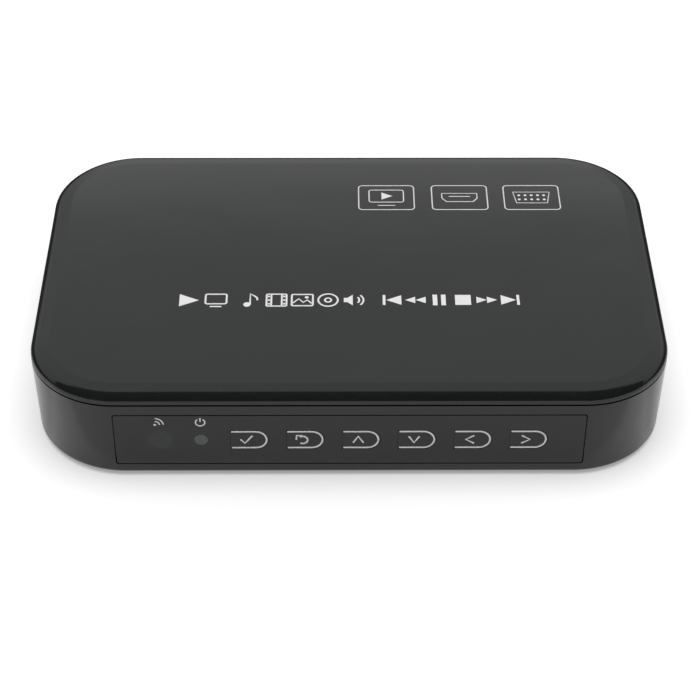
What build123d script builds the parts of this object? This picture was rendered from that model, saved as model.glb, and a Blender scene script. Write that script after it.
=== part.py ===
"""A small media player with keys in its front strip and a 2.5-inch drive on a tray that slides out.

Millimetres. The front faces -Y, +X is the viewer's right, and +Z is up. The origin is on the ground, under
the middle of the case.
"""

from build123d import *
from math import atan, cos, degrees, radians, sin, sqrt, tan
import os

# ---- Case: a rounded box that narrows a little towards its base, and a domed cover over a shadow gap
case_width = 160.0  # at the rim
case_depth = 102.7
rim_radius = 22.3
draft = 0.25  # how far the base stands in from the rim, on each side
base_radius = 23.9
foot_height = 1.0
case_height = 22.4  # underside to rim
bottom_round = 1.2
case_wall = 2.0
case_floor = 1.5
seam_gap = 0.5
rebate_wall = 0.9  # what is left of the wall outside the cover's lip
lip_depth = 0.8
lip_gap = 0.1
lip_wall = 1.0

underside_z = foot_height
floor_z = underside_z + case_floor
rim_z = underside_z + case_height
lean = atan(draft / case_height)

# ---- Cover: flat plateau, sloping border, rounded edge
cover_rise = 3.0
border_width = 4.8
border_slope = radians(8.0)
edge_round = 2.4
cover_wall = 1.8
inner_round = 0.8
rib_wall = 1.2
cover_rib_depth = 0.9
cover_rib_inset = 14.0
cover_rib_pitch = 22.0
cover_rib_count = 5

cover_z = rim_z + seam_gap
top_z = cover_z + cover_rise
border_z = top_z - border_width * tan(border_slope)
ceiling_z = top_z - cover_wall

# ---- 2.5-inch drive, by its published outline and screw places
drive_length = 100.45
drive_width = 69.85
drive_height = 9.5
drive_round = 2.5
drive_lid_height = 0.8
drive_hole_near = 14.0  # from the end that has the plug
drive_hole_far = 9.85  # from the other end
drive_hole_z = 3.0
drive_hole_radius = 1.5
drive_hole_depth = 3.5
circuit_pocket = 1.6
circuit_margin = 4.0
circuit_wall = 1.0
circuit_gap = 0.3
lid_plate = 0.5
lid_margin = 0.4
lid_screw_radius = 1.4
lid_screw_inset = 3.6
platter_margin = 3.4  # from the drive's side to the round step in its lid

# ---- Tray and its bay
screw_head_sink = 0.8
tray_screw_head = 2.5
tray_gap = 0.2
tray_floor = 0.6
tray_wall = 1.3
tray_side_height = 8.5
tray_end_wall = 1.85
drive_slack = 0.2
bay_side_gap = 0.5
bay_middle_y = 4.8
bezel_depth = 6.5  # from the rim back to the tray's end
bay_end_room = 7.0  # behind the drive, for its socket
bay_rib = 1.2
bay_stop_height = 2.0
bay_top_gap = 0.2
bezel_gap = 0.25
bezel_wall = 1.8
grip_length = 24.0
grip_height = 6.4
grip_depth = 3.2
grip_block = 30.0

tray_z = floor_z + tray_gap
drive_z = tray_z + tray_floor
drive_top = drive_z + drive_height
board_z = drive_top + bay_top_gap
tray_width = drive_width + 2 * (drive_slack + tray_wall)
bay_width = tray_width + 2 * bay_side_gap
bay_front_y = bay_middle_y - bay_width / 2
bay_rear_y = bay_middle_y + bay_width / 2
tray_end_x = case_width / 2 - bezel_depth
drive_end_x = tray_end_x - tray_end_wall - drive_slack - drive_length
bay_inner_x = drive_end_x - bay_end_room

# ---- Front strip, its windows and its keys
panel_end_margin = 22.0  # from the case's widest part to the strip's end
panel_height = 16.0
panel_wall = 1.8
panel_round = 0.6
panel_gap = 0.3
panel_z = 12.3
ledge_wall = 1.2
ledge_margin = 2.2
window_margin = 4.0
key_length = 9.3
key_height = 6.0
first_key_margin = 28.5  # from the strip's left end to the first root
last_key_margin = 18.5  # from the last root to the strip's right end
key_gap = 0.15
root_gap = 0.05
key_wall = 1.2
key_web = 0.5  # the thin root that bends
key_web_length = 1.4
peg_radius = 1.2
peg_arm = key_length - key_height / 2  # from the root to the peg
key_names = ("key_ok", "key_back", "key_up", "key_down", "key_left", "key_right")
led_margin = 7.2  # from the light to the first root
led_radius = 1.7
led_flange = 0.6
infrared_pitch = 10.1  # from the infrared window to the light
infrared_radius = 3.8
infrared_skin = 0.8

panel_length = case_width - 2 * panel_end_margin
first_key_x = first_key_margin - panel_length / 2
key_pitch = (panel_length - first_key_margin - last_key_margin) / (len(key_names) - 1)
led_x = first_key_x - led_margin
infrared_x = led_x - infrared_pitch

# ---- Key board and its switches
plunger_depth = 3.0  # from the outer face to the plunger's tip
plunger_radius = 1.1
plunger_gap = 0.05
plunger_reach = 0.8
plunger_inside = 1.0
switch_size = 4.5
switch_height = 3.0
switch_hole_depth = 1.5
key_board_overhang = 2.0  # past the strip, at each end
key_board_height = 15.0
key_board_wall = 1.0
key_board_screw_inset = 3.5
key_board_boss = 2.2

key_board_length = panel_length + 2 * key_board_overhang
key_board_screw_x = key_board_length / 2 - key_board_screw_inset

# ---- Light and infrared receiver on the key board
led_body_radius = 1.5
led_rim = 0.4
led_rim_height = 0.8
led_gap = 0.2
led_dome = 1.3
receiver_width = 6.0
receiver_height = 7.0
receiver_body = 3.0
receiver_dome_radius = 2.3
receiver_dome = 1.4
receiver_round = 1.2

# ---- What stands on the main board
chip_size = 14.0
chip_height = 1.2
chip_x = 22.0
chip_y = -8.0
sink_size = 22.0
sink_base = 1.2
sink_height = 4.4
sink_fins = 8
sink_fin = 0.9
memory_length = 12.5
memory_width = 8.0
memory_height = 1.0
memory_pitch = 11.0
memory_gap = 4.8  # from the heat sink
can_radius = 2.5
can_height = 5.2
can_bevel = 0.4
can_pitch = 7.0
can_margin = 17.0
can_y = 22.0
crystal_length = 11.0
crystal_width = 4.6
crystal_height = 3.5
crystal_y = 12.0

memory_x = chip_x - sink_size / 2 - memory_gap - memory_length / 2

# ---- Flat cable from the key board to the main board, with a socket at each end
cable_width = 12.0
cable_wall = 0.2
cable_socket_width = 15.0
cable_socket_depth = 2.2
cable_socket_height = 2.6
cable_socket_margin = 0.5  # from the main board's front edge
cable_drop = 2.0  # below the strip's middle
cable_pinch = 0.1  # how far the cable starts outside its socket

# ---- Main board
board_wall = 1.0
board_left_margin = 4.0  # margins are from the case's rim
board_right_margin = 13.0
board_front_margin = 14.1
board_rear_margin = 3.2
board_rear_round = 18.0
board_front_round = 6.0
hole_gap = 0.4

board_top = board_z + board_wall
board_left_x = board_left_margin - case_width / 2
board_right_x = case_width / 2 - board_right_margin
board_front_y = board_front_margin - case_depth / 2
board_rear_y = case_depth / 2 - board_rear_margin

# ---- Case screws in deep wells; the cover's bosses stand on the case's
boss_margins = (  # side, margin in x, end, margin in y
    (-1, 16.0, -1, 13.0),
    (1, 16.0, -1, 13.0),
    (-1, 12.0, 1, 16.0),
    (1, 22.0, 1, 5.0),
)
boss_radius = 2.6
boss_joint_z = 17.0
well_radius = 1.8
well_depth = 8.0
screw_radius = 1.0
screw_clearance = 0.15
screw_head_radius = 1.6
screw_head_height = 1.3
screw_end_z = 23.0

boss_points = [
    (side * (case_width / 2 - margin_x), end * (case_depth / 2 - margin_y))
    for side, margin_x, end, margin_y in boss_margins
]

# ---- Main board's screws on posts
post_radius = 2.0
rear_post_gap = 1.4  # from the bay's walls
front_post_gap = 0.1
rear_post_x = 40.0
front_post_x = 30.0
left_post_front = (12.0, -31.0)  # from the bay's inner end, and in y
left_post_rear = (4.0, 30.0)
board_screw_radius = 0.9
board_screw_head = 1.7
board_screw_length = 6.0

post_points = (
    (bay_inner_x - left_post_front[0], left_post_front[1]),
    (bay_inner_x - left_post_rear[0], left_post_rear[1]),
    (rear_post_x, bay_rear_y + bay_rib + rear_post_gap + post_radius),
    (front_post_x, bay_front_y - bay_rib - front_post_gap - post_radius),
)

# ---- Feet and vents
foot_margin_x = 26.0
foot_margin_y = 20.0
foot_radius = 4.5
foot_recess = 0.5
foot_bevel = 0.4
vent_count = 8
vent_width = 1.8
vent_length = 22.0
vent_pitch = 4.0
vent_margin = 27.0  # from the rim to the vents' middle

foot_points = [
    (side * (case_width / 2 - foot_margin_x), end * (case_depth / 2 - foot_margin_y))
    for side in (-1, 1)
    for end in (-1, 1)
]

# ---- Sockets at the rear; all but the wide one stand on the board
socket_setback = 0.4  # of the sockets' mouths from the rim
hdmi_x = -15.0
hdmi_width = 15.0
hdmi_height = 5.5
hdmi_depth = 11.5
sheet = 0.4
hdmi_bevel = 1.6
tongue_width = 10.8
tongue_wall = 1.1
av_x = 10.0
jack_width = 7.0
jack_height = 5.6
jack_depth = 12.0
jack_bore = 1.8
jack_nose_radius = 2.9
jack_nose = 1.9
jack_mouth_flare = 0.5  # of the funnel that leads a plug into the bore
dc_x = 32.0
dc_bore = 1.85
dc_pin_radius = 0.65
pin_bevel = 0.3
vga_margin = 31.5  # from the rim at the left to its middle
vga_flange_width = 30.8
vga_flange_height = 12.5
vga_flange_wall = 0.9
vga_setback = 4.2
vga_shell_width = 16.3
vga_shell_height = 7.9
vga_shell_reach = 5.8
vga_slant = radians(10.0)
vga_depth = 5.2
vga_body_step = 1.0  # of the body behind the flange, at its top and bottom
vga_pin_radius = 0.5
vga_pin_pitch = 2.29
vga_row_pitch = 1.98
jack_nut_spacing = 24.99
jack_nut_flats = 4.75
jack_nut_height = 4.6
jack_nut_bore = 1.15
nut_stud_radius = 1.4
nut_stud_length = 2.7
cut_gap = 0.2
vga_cut_gap = 1.2

mouth_setback = 1.2  # of the tongues and the pin from their mouths

rear_face_y = case_depth / 2 - socket_setback
vga_face_y = case_depth / 2 - vga_setback
vga_x = vga_margin - case_width / 2

# ---- Sockets at the left side
left_face_x = socket_setback - case_width / 2
usb_y = 14.0
usb_width = 13.1
usb_height = 5.7
usb_depth = 14.0
usb_tongue_width = 11.0
usb_tongue_wall = 1.9
card_y = -13.0
card_width = 28.0
card_height = 3.0
card_depth = 24.0
card_slot_width = 24.6
card_slot_height = 2.3

# ---- Drive connector
plug_width = 42.7
plug_offset = 9.4
plug_recess_depth = 4.5
plug_tongue = 1.2
plug_tongue_z = 3.4
socket_entry = 3.0
socket_height = 4.2
socket_gap = 0.15
socket_wall = 0.6
socket_shoulder = 1.0

front_middle_y = draft * (rim_z - panel_z) / case_height - case_depth / 2
front_plane = Plane(
    origin=(0, front_middle_y, panel_z),
    x_dir=(1, 0, 0),
    z_dir=(0, -cos(lean), -sin(lean)),
)


def case_outline(height, inset=0.0):
    """The case's outline at a height, drawn in by inset."""
    share = (rim_z - height) / case_height
    margin = 2 * (draft * share + inset)
    corner = rim_radius + (base_radius - rim_radius) * share - inset
    return RectangleRounded(case_width - margin, case_depth - margin, corner)


def cover_outline(inset=0.0, mode=Mode.ADD):
    """The cover's outline, drawn in by inset."""
    return RectangleRounded(case_width - 2 * inset, case_depth - 2 * inset, rim_radius - inset, mode=mode)


def side_reach(y, inset):
    """How far in x the wall reaches at a given y, at the rim."""
    corner_y = case_depth / 2 - rim_radius
    if abs(y) <= corner_y:
        return case_width / 2 - inset
    along = abs(y) - corner_y
    return case_width / 2 - rim_radius + sqrt((rim_radius - inset) ** 2 - along**2)


def block(x_range, y_range, z_range, mode=Mode.ADD):
    """A rectangular block between three pairs of limits."""
    with BuildSketch(Plane.XY.offset(z_range[0])) as base:
        with Locations(((x_range[0] + x_range[1]) / 2, (y_range[0] + y_range[1]) / 2)):
            Rectangle(x_range[1] - x_range[0], y_range[1] - y_range[0])
    return extrude(base.sketch, amount=z_range[1] - z_range[0], mode=mode)


def discs(points, radius, z_range, mode=Mode.ADD):
    """Upright round posts or holes at a list of points."""
    with BuildSketch(Plane.XY.offset(z_range[0])) as base:
        with Locations(*points):
            Circle(radius)
    return extrude(base.sketch, amount=z_range[1] - z_range[0], mode=mode)


def key_shape(root_x, clearance=0.0, root_clearance=0.0):
    """A key's outline on the front strip: square at its root, round at its free end."""
    half = key_height / 2
    straight = key_length - half
    length = straight + root_clearance
    with Locations((root_x - root_clearance + length / 2, 0)):
        Rectangle(length, key_height + 2 * clearance)
    with Locations((root_x + straight, 0)):
        Circle(half + clearance)


def d_shape(width, height):
    """A D-subminiature outline: wide at the top, with slanted sides."""
    return Trapezoid(width, height, 90 - degrees(vga_slant), rotation=180)


def save(builder, name):
    """Label a finished piece and write it out."""
    builder.part.label = name
    export_step(builder.part, f"parts/{name}.step")


os.makedirs("parts", exist_ok=True)
key_roots = [first_key_x + i * key_pitch for i in range(len(key_names))]
board_face_depth = plunger_depth + plunger_reach + switch_height

# ---- The case's outer and inner forms, which several pieces are cut from
with BuildPart() as case_form:
    for level in (underside_z, rim_z):
        with BuildSketch(Plane.XY.offset(level)):
            case_outline(level)
    loft(ruled=True)
    fillet(case_form.edges().group_by(Axis.Z)[0], bottom_round)

with BuildPart() as case_cavity:
    for level in (floor_z, rim_z + 1):
        with BuildSketch(Plane.XY.offset(level)):
            case_outline(level, case_wall)
    loft(ruled=True)

# ---- Lower case
with BuildPart() as bottom_case:
    add(case_form.part)
    add(case_cavity.part, mode=Mode.SUBTRACT)
    # ledge behind the front strip
    with BuildSketch(front_plane.offset(-panel_wall)):
        Rectangle(panel_length + 2 * ledge_margin, panel_height + 2 * panel_gap)
    extrude(amount=-ledge_wall)
    # bosses for the key board
    with BuildSketch(front_plane.offset(-panel_wall - ledge_wall / 2)):
        with Locations((-key_board_screw_x, 0), (key_board_screw_x, 0)):
            Circle(key_board_boss)
    extrude(amount=-(board_face_depth - panel_wall - ledge_wall / 2))
    # recess for the strip and the window that the keys work through
    with BuildSketch(front_plane.offset(-panel_wall)):
        RectangleRounded(panel_length + 2 * panel_gap, panel_height + 2 * panel_gap, panel_round)
    extrude(amount=panel_wall + case_wall, mode=Mode.SUBTRACT)
    with BuildSketch(front_plane):
        Rectangle(panel_length - 2 * window_margin, panel_height - 2 * ledge_margin)
    extrude(amount=-(panel_wall + ledge_wall + 1), mode=Mode.SUBTRACT)
    with BuildSketch(front_plane.offset(-board_face_depth)):
        with Locations((-key_board_screw_x, 0), (key_board_screw_x, 0)):
            Circle(board_screw_radius)
    extrude(amount=board_face_depth - panel_wall - ledge_wall / 2, mode=Mode.SUBTRACT)
    # rebate for the cover's lip
    with BuildSketch(Plane.XY.offset(rim_z - lip_depth)):
        cover_outline(rebate_wall)
    extrude(amount=lip_depth + 1, mode=Mode.SUBTRACT)
    # bay walls, which also carry the main board
    for y0, y1 in ((bay_front_y - bay_rib, bay_front_y), (bay_rear_y, bay_rear_y + bay_rib)):
        outer_y = max(y0, y1, key=abs)
        block((bay_inner_x, side_reach(outer_y, case_wall / 2)), (y0, y1), (floor_z, board_z))
    block(
        (bay_inner_x - bay_rib, bay_inner_x),
        (bay_front_y - bay_rib, bay_middle_y - plug_offset),
        (floor_z, floor_z + bay_stop_height),
    )
    # bosses, posts and wells
    discs(boss_points, boss_radius, (underside_z + case_floor / 2, boss_joint_z))
    discs(post_points, post_radius, (underside_z + case_floor / 2, board_z))
    # the bay stays clear, out to the mouth that the tray leaves by
    block((bay_inner_x, case_width), (bay_front_y, bay_rear_y), (floor_z, board_z), Mode.SUBTRACT)
    discs(boss_points, well_radius, (0, underside_z + well_depth), Mode.SUBTRACT)
    discs(boss_points, screw_radius + screw_clearance, (0, boss_joint_z), Mode.SUBTRACT)
    discs(post_points, board_screw_radius, (floor_z + case_floor, board_z), Mode.SUBTRACT)
    # room for the VGA jack's body and flange, kept clear of the bay's rear wall
    jack_low_z = board_z + board_wall / 2 - vga_flange_height / 2 - cut_gap
    for width, depth in ((vga_shell_width, vga_depth), (vga_flange_width, nut_stud_length)):
        reach_x = width / 2 + cut_gap
        block(
            (vga_x - reach_x, vga_x + reach_x),
            (vga_face_y - depth - cut_gap, vga_face_y),
            (jack_low_z, board_z),
            Mode.SUBTRACT,
        )
    # foot recesses and vents
    discs(foot_points, foot_radius + cut_gap, (0, underside_z + foot_recess), Mode.SUBTRACT)
    with BuildSketch(Plane.XY):
        with GridLocations(0, vent_pitch, 1, vent_count):
            with Locations((vent_margin - case_width / 2, 0)):
                SlotOverall(vent_length, vent_width)
    extrude(amount=floor_z + 1, mode=Mode.SUBTRACT)
    # rear sockets
    with BuildSketch(Plane.XZ.offset(-case_depth)):
        with Locations((hdmi_x, board_top + hdmi_height / 2)):
            Rectangle(hdmi_width + 2 * cut_gap, hdmi_height + 2 * cut_gap)
        with Locations((av_x, board_top + jack_height / 2), (dc_x, board_top + jack_height / 2)):
            Circle(jack_nose_radius + cut_gap)
        with Locations((vga_x, board_z + board_wall / 2)):
            d_shape(vga_shell_width + 2 * vga_cut_gap, vga_shell_height + 2 * vga_cut_gap)
        nut_x = jack_nut_spacing / 2
        with Locations((vga_x - nut_x, board_z + board_wall / 2), (vga_x + nut_x, board_z + board_wall / 2)):
            Circle(jack_nut_flats / 2 + 2 * cut_gap)
    extrude(amount=case_depth - vga_face_y + vga_flange_wall, mode=Mode.SUBTRACT)
    # side sockets
    with BuildSketch(Plane.YZ.offset(-case_width)):
        with Locations((usb_y, board_top + usb_height / 2)):
            Rectangle(usb_width + 2 * cut_gap, usb_height + 2 * cut_gap)
        with Locations((card_y, board_z - card_height / 2)):
            Rectangle(card_slot_width + 2 * cut_gap, card_slot_height + 2 * cut_gap)
    extrude(amount=case_width / 2 + case_wall + draft, mode=Mode.SUBTRACT)
save(bottom_case, "bottom_case")

# ---- Cover: skirt, sloping border and plateau, with a lip that stands in the case's rebate
with BuildPart() as top_cover:
    with BuildSketch(Plane.XY.offset(cover_z)):
        cover_outline()
    extrude(amount=border_z - cover_z)
    for level, inset in ((border_z, 0.0), (top_z, border_width)):
        with BuildSketch(Plane.XY.offset(level)):
            cover_outline(inset)
    loft(ruled=True)
    fillet(top_cover.edges().filter_by_position(Axis.Z, border_z - 0.01, border_z + 0.01), edge_round)
    with BuildSketch(Plane.XY.offset(cover_z)):
        cover_outline(cover_wall)
    extrude(amount=ceiling_z - cover_z, mode=Mode.SUBTRACT)
    fillet(top_cover.edges().filter_by_position(Axis.Z, ceiling_z - 0.01, ceiling_z + 0.01), inner_round)
    with BuildSketch(Plane.XY.offset(cover_z)):
        cover_outline(rebate_wall + lip_gap)
        cover_outline(rebate_wall + lip_gap + lip_wall, Mode.SUBTRACT)
    extrude(amount=-(seam_gap + lip_depth))
    with BuildSketch(Plane.XY.offset(ceiling_z)):
        with GridLocations(cover_rib_pitch, 0, cover_rib_count, 1):
            Rectangle(rib_wall, case_depth - 2 * cover_rib_inset)
    extrude(amount=-cover_rib_depth)
    discs(boss_points, boss_radius, (boss_joint_z, ceiling_z + cover_wall / 2))
    discs(boss_points, screw_radius, (boss_joint_z, screw_end_z), Mode.SUBTRACT)
save(top_cover, "top_cover")

# ---- Front strip
with BuildPart() as front_panel:
    with BuildSketch(front_plane.offset(-panel_wall)):
        RectangleRounded(panel_length, panel_height, panel_round)
    extrude(amount=panel_wall + 1)
    add(case_form.part, mode=Mode.INTERSECT)
    with BuildSketch(front_plane.offset(-panel_wall)):
        for root in key_roots:
            key_shape(root, key_gap, root_gap)
        with Locations((led_x, 0)):
            Circle(led_radius + root_gap)
    extrude(amount=panel_wall + 1, mode=Mode.SUBTRACT)
    with BuildSketch(front_plane.offset(-infrared_skin)):
        with Locations((infrared_x, 0)):
            Circle(infrared_radius)
    extrude(amount=-panel_wall, mode=Mode.SUBTRACT)
save(front_panel, "front_panel")


def make_key(root_x):
    """A key: a plate with a thinned root and a peg that bears on its switch."""
    with BuildPart() as key:
        with BuildSketch(front_plane.offset(-key_wall)):
            key_shape(root_x)
        extrude(amount=key_wall + 1)
        add(case_form.part, mode=Mode.INTERSECT)
        with BuildSketch(front_plane.offset(-key_web)):
            with Locations((root_x + key_web_length / 2, 0)):
                Rectangle(key_web_length, key_height)
        extrude(amount=-key_wall, mode=Mode.SUBTRACT)
        with BuildSketch(front_plane.offset(-key_wall / 2)):
            with Locations((root_x + peg_arm, 0)):
                Circle(peg_radius)
        extrude(amount=-(plunger_depth - plunger_gap - key_wall / 2))
    return key


def make_plunger(root_x):
    """The round plunger of a key's switch."""
    with BuildPart() as plunger:
        with BuildSketch(front_plane.offset(-plunger_depth)):
            with Locations((root_x + peg_arm, 0)):
                Circle(plunger_radius)
        extrude(amount=-(plunger_reach + plunger_inside))
    return plunger


for name, root in zip(key_names, key_roots):
    save(make_key(root), name)
    save(make_plunger(root), name.replace("key_", "plunger_"))

with BuildPart() as led_lens:
    with BuildSketch(front_plane.offset(-panel_wall)):
        with Locations((led_x, 0)):
            Circle(led_radius)
    extrude(amount=panel_wall + 1)
    add(case_form.part, mode=Mode.INTERSECT)
    with BuildSketch(front_plane.offset(-panel_wall)):
        with Locations((led_x, 0)):
            Circle(led_radius + led_flange)
    extrude(amount=-led_flange)
save(led_lens, "led_lens")

# ---- Key board with its switches, light and infrared receiver
board_face = front_plane.offset(-board_face_depth)
screw_spots = ((-key_board_screw_x, 0), (key_board_screw_x, 0))
with BuildPart() as key_board:
    with BuildSketch(board_face):
        RectangleRounded(key_board_length, key_board_height, panel_round)
        with Locations(*screw_spots):
            Circle(board_screw_radius + root_gap, mode=Mode.SUBTRACT)
    extrude(amount=-key_board_wall)
save(key_board, "key_board")

with BuildPart() as key_board_screws:
    with BuildSketch(board_face.offset(-key_board_wall)):
        with Locations(*screw_spots):
            Circle(board_screw_head)
    extrude(amount=-board_screw_radius)
    with BuildSketch(board_face.offset(-key_board_wall)):
        with Locations(*screw_spots):
            Circle(board_screw_radius)
    extrude(amount=key_board_wall + switch_height)
save(key_board_screws, "key_board_screws")

switch_spots = [(root + peg_arm, 0) for root in key_roots]
with BuildPart() as tact_switches:
    with BuildSketch(board_face):
        with Locations(*switch_spots):
            Rectangle(switch_size, switch_size)
    extrude(amount=switch_height)
    with BuildSketch(board_face.offset(switch_height)):
        with Locations(*switch_spots):
            Circle(plunger_radius + plunger_gap)
    extrude(amount=-switch_hole_depth, mode=Mode.SUBTRACT)
save(tact_switches, "tact_switches")

with BuildPart() as power_led:
    with BuildSketch(board_face):
        with Locations((led_x, 0)):
            Circle(led_body_radius)
    extrude(amount=board_face_depth - panel_wall - led_flange - led_gap)
    fillet(power_led.faces().sort_by(Axis.Y)[0].edges(), led_dome)
    with BuildSketch(board_face):
        with Locations((led_x, 0)):
            Circle(led_body_radius + led_rim)
    extrude(amount=led_rim_height)
save(power_led, "power_led")

with BuildPart() as ir_receiver:
    with BuildSketch(board_face):
        with Locations((infrared_x, 0)):
            Rectangle(receiver_width, receiver_height)
    extrude(amount=receiver_body)
    with BuildSketch(board_face.offset(receiver_body)):
        with Locations((infrared_x, 0)):
            Circle(receiver_dome_radius)
    extrude(amount=receiver_dome)
    fillet(ir_receiver.faces().sort_by(Axis.Y)[0].edges(), receiver_round)
save(ir_receiver, "ir_receiver")

# ---- Main board and what stands on it
with BuildPart() as main_board:
    with BuildSketch(Plane.XY.offset(board_z)) as board_sketch:
        with Locations(((board_left_x + board_right_x) / 2, (board_front_y + board_rear_y) / 2)):
            Rectangle(board_right_x - board_left_x, board_rear_y - board_front_y)
        fillet(board_sketch.vertices().group_by(Axis.Y)[-1], board_rear_round)
        fillet(board_sketch.vertices().group_by(Axis.Y)[0], board_front_round)
        with Locations(*boss_points):
            Circle(boss_radius + hole_gap, mode=Mode.SUBTRACT)
        with Locations(*post_points):
            Circle(board_screw_radius + root_gap, mode=Mode.SUBTRACT)
        with Locations((vga_x, vga_face_y)):
            Rectangle(vga_shell_width + 2 * hole_gap, 2 * (vga_depth + hole_gap), mode=Mode.SUBTRACT)
            Rectangle(vga_flange_width + 2 * hole_gap, 2 * (nut_stud_length + hole_gap), mode=Mode.SUBTRACT)
    extrude(amount=board_wall)
save(main_board, "main_board")

with BuildPart() as board_screws:
    discs(post_points, board_screw_head, (board_top, board_top + board_screw_radius))
    discs(post_points, board_screw_radius, (board_top - board_screw_length, board_top))
save(board_screws, "board_screws")

with BuildPart() as main_chip:
    with BuildSketch(Plane.XY.offset(board_top)):
        with Locations((chip_x, chip_y)):
            Rectangle(chip_size, chip_size)
    extrude(amount=chip_height)
save(main_chip, "main_chip")

with BuildPart() as heat_sink:
    with BuildSketch(Plane.XY.offset(board_top + chip_height)):
        with Locations((chip_x, chip_y)):
            Rectangle(sink_size, sink_size)
    extrude(amount=sink_base)
    with BuildSketch(Plane.XY.offset(board_top + chip_height + sink_base)):
        with Locations((chip_x, chip_y)):
            with GridLocations((sink_size - sink_fin) / (sink_fins - 1), 0, sink_fins, 1):
                Rectangle(sink_fin, sink_size)
    extrude(amount=sink_height - sink_base)
save(heat_sink, "heat_sink")

with BuildPart() as memory_chips:
    with BuildSketch(Plane.XY.offset(board_top)):
        with Locations((memory_x, chip_y)):
            with GridLocations(0, memory_pitch, 1, 2):
                Rectangle(memory_length, memory_width)
    extrude(amount=memory_height)
save(memory_chips, "memory_chips")

with BuildPart() as capacitors:
    with BuildSketch(Plane.XY.offset(board_top)):
        with Locations((board_right_x - can_margin, can_y)):
            with GridLocations(can_pitch, can_pitch, 2, 3):
                Circle(can_radius)
    extrude(amount=can_height)
    chamfer(capacitors.edges().group_by(Axis.Z)[-1], can_bevel)
save(capacitors, "capacitors")

with BuildPart() as crystal:
    with BuildSketch(Plane.XY.offset(board_top)):
        with Locations((chip_x, crystal_y)):
            SlotOverall(crystal_length, crystal_width)
    extrude(amount=crystal_height)
    chamfer(crystal.edges().group_by(Axis.Z)[-1], can_bevel)
save(crystal, "crystal")

# ---- Flat cable from the key board to the main board, with a socket at each end
cable_y0 = front_middle_y + board_face_depth + key_board_wall + cable_socket_depth + cable_pinch
cable_y1 = board_front_y + cable_socket_margin
cable_z0 = panel_z - cable_drop
cable_z1 = board_top + cable_socket_height / 2
cable_bend = min(cable_y1 - cable_y0, cable_z1 - cable_z0) / 3
with BuildPart() as cable_sockets:
    with BuildSketch(board_face.offset(-key_board_wall)):
        with Locations((0, cable_z0 - panel_z)):
            Rectangle(cable_socket_width, cable_socket_height)
    extrude(amount=-cable_socket_depth)
    block(
        (-cable_socket_width / 2, cable_socket_width / 2),
        (cable_y1, cable_y1 + cable_socket_depth),
        (board_top, board_top + cable_socket_height),
    )
save(cable_sockets, "cable_sockets")

with BuildPart() as key_cable:
    with BuildSketch(Plane.YZ.offset(-cable_width / 2)):
        with BuildLine() as route:
            middle_y = (cable_y0 + cable_y1) / 2
            FilletPolyline(
                (cable_y0, cable_z0),
                (middle_y, cable_z0),
                (middle_y, cable_z1),
                (cable_y1, cable_z1),
                radius=cable_bend,
            )
        trace(line_width=cable_wall)
    extrude(amount=cable_width)
save(key_cable, "key_cable")

# ---- Rear sockets
with BuildPart() as hdmi_socket:
    hdmi_middle_z = board_top + hdmi_height / 2
    with BuildSketch(Plane.XZ.offset(-rear_face_y)) as hdmi_sketch:
        with Locations((hdmi_x, hdmi_middle_z)):
            Rectangle(hdmi_width, hdmi_height)
        chamfer(hdmi_sketch.vertices().group_by(Axis.Z)[0], hdmi_bevel)
    extrude(amount=hdmi_depth)
    with BuildSketch(Plane.XZ.offset(-rear_face_y)) as hdmi_mouth:
        with Locations((hdmi_x, hdmi_middle_z)):
            Rectangle(hdmi_width - 2 * sheet, hdmi_height - 2 * sheet)
        chamfer(hdmi_mouth.vertices().group_by(Axis.Z)[0], hdmi_bevel)
    extrude(amount=hdmi_depth - sheet, mode=Mode.SUBTRACT)
save(hdmi_socket, "hdmi_socket")

with BuildPart() as hdmi_tongue:
    with BuildSketch(Plane.XZ.offset(-(rear_face_y - mouth_setback))):
        with Locations((hdmi_x, hdmi_middle_z + sheet)):
            Rectangle(tongue_width, tongue_wall)
    extrude(amount=hdmi_depth - sheet - mouth_setback)
save(hdmi_tongue, "hdmi_tongue")

vga_z = board_z + board_wall / 2
vga_spot = (vga_x, vga_z)
nut_spots = [(vga_x + side * jack_nut_spacing / 2, vga_z) for side in (-1, 1)]
with BuildPart() as vga_shell:
    with BuildSketch(Plane.XZ.offset(-vga_face_y)):
        with Locations(vga_spot):
            RectangleRounded(vga_flange_width, vga_flange_height, panel_round)
    extrude(amount=vga_flange_wall)
    with BuildSketch(Plane.XZ.offset(-vga_face_y - vga_shell_reach)):
        with Locations(vga_spot):
            d_shape(vga_shell_width, vga_shell_height)
    extrude(amount=vga_shell_reach)
    with BuildSketch(Plane.XZ.offset(-vga_face_y - vga_shell_reach)):
        with Locations(vga_spot):
            d_shape(vga_shell_width - 2 * sheet, vga_shell_height - 2 * sheet)
    extrude(amount=vga_shell_reach + vga_flange_wall, mode=Mode.SUBTRACT)
    with BuildSketch(Plane.XZ.offset(-vga_face_y)):
        with Locations(*nut_spots):
            Circle(nut_stud_radius)
    extrude(amount=vga_flange_wall, mode=Mode.SUBTRACT)
save(vga_shell, "vga_shell")

with BuildPart() as vga_insulator:
    with BuildSketch(Plane.XZ.offset(-vga_face_y - vga_shell_reach + sheet)):
        with Locations(vga_spot):
            d_shape(vga_shell_width - 2 * sheet, vga_shell_height - 2 * sheet)
    extrude(amount=vga_shell_reach + vga_flange_wall - sheet)
    with BuildSketch(Plane.XZ.offset(-vga_face_y + vga_flange_wall)):
        with Locations(vga_spot):
            Rectangle(vga_shell_width, vga_flange_height - 2 * vga_body_step)
    extrude(amount=vga_depth - vga_flange_wall)
    with BuildSketch(Plane.XZ.offset(-vga_face_y - vga_shell_reach)):
        with Locations(vga_spot):
            with GridLocations(vga_pin_pitch, vga_row_pitch, 5, 3):
                Circle(vga_pin_radius)
    extrude(amount=vga_shell_reach, mode=Mode.SUBTRACT)
save(vga_insulator, "vga_insulator")

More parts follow.
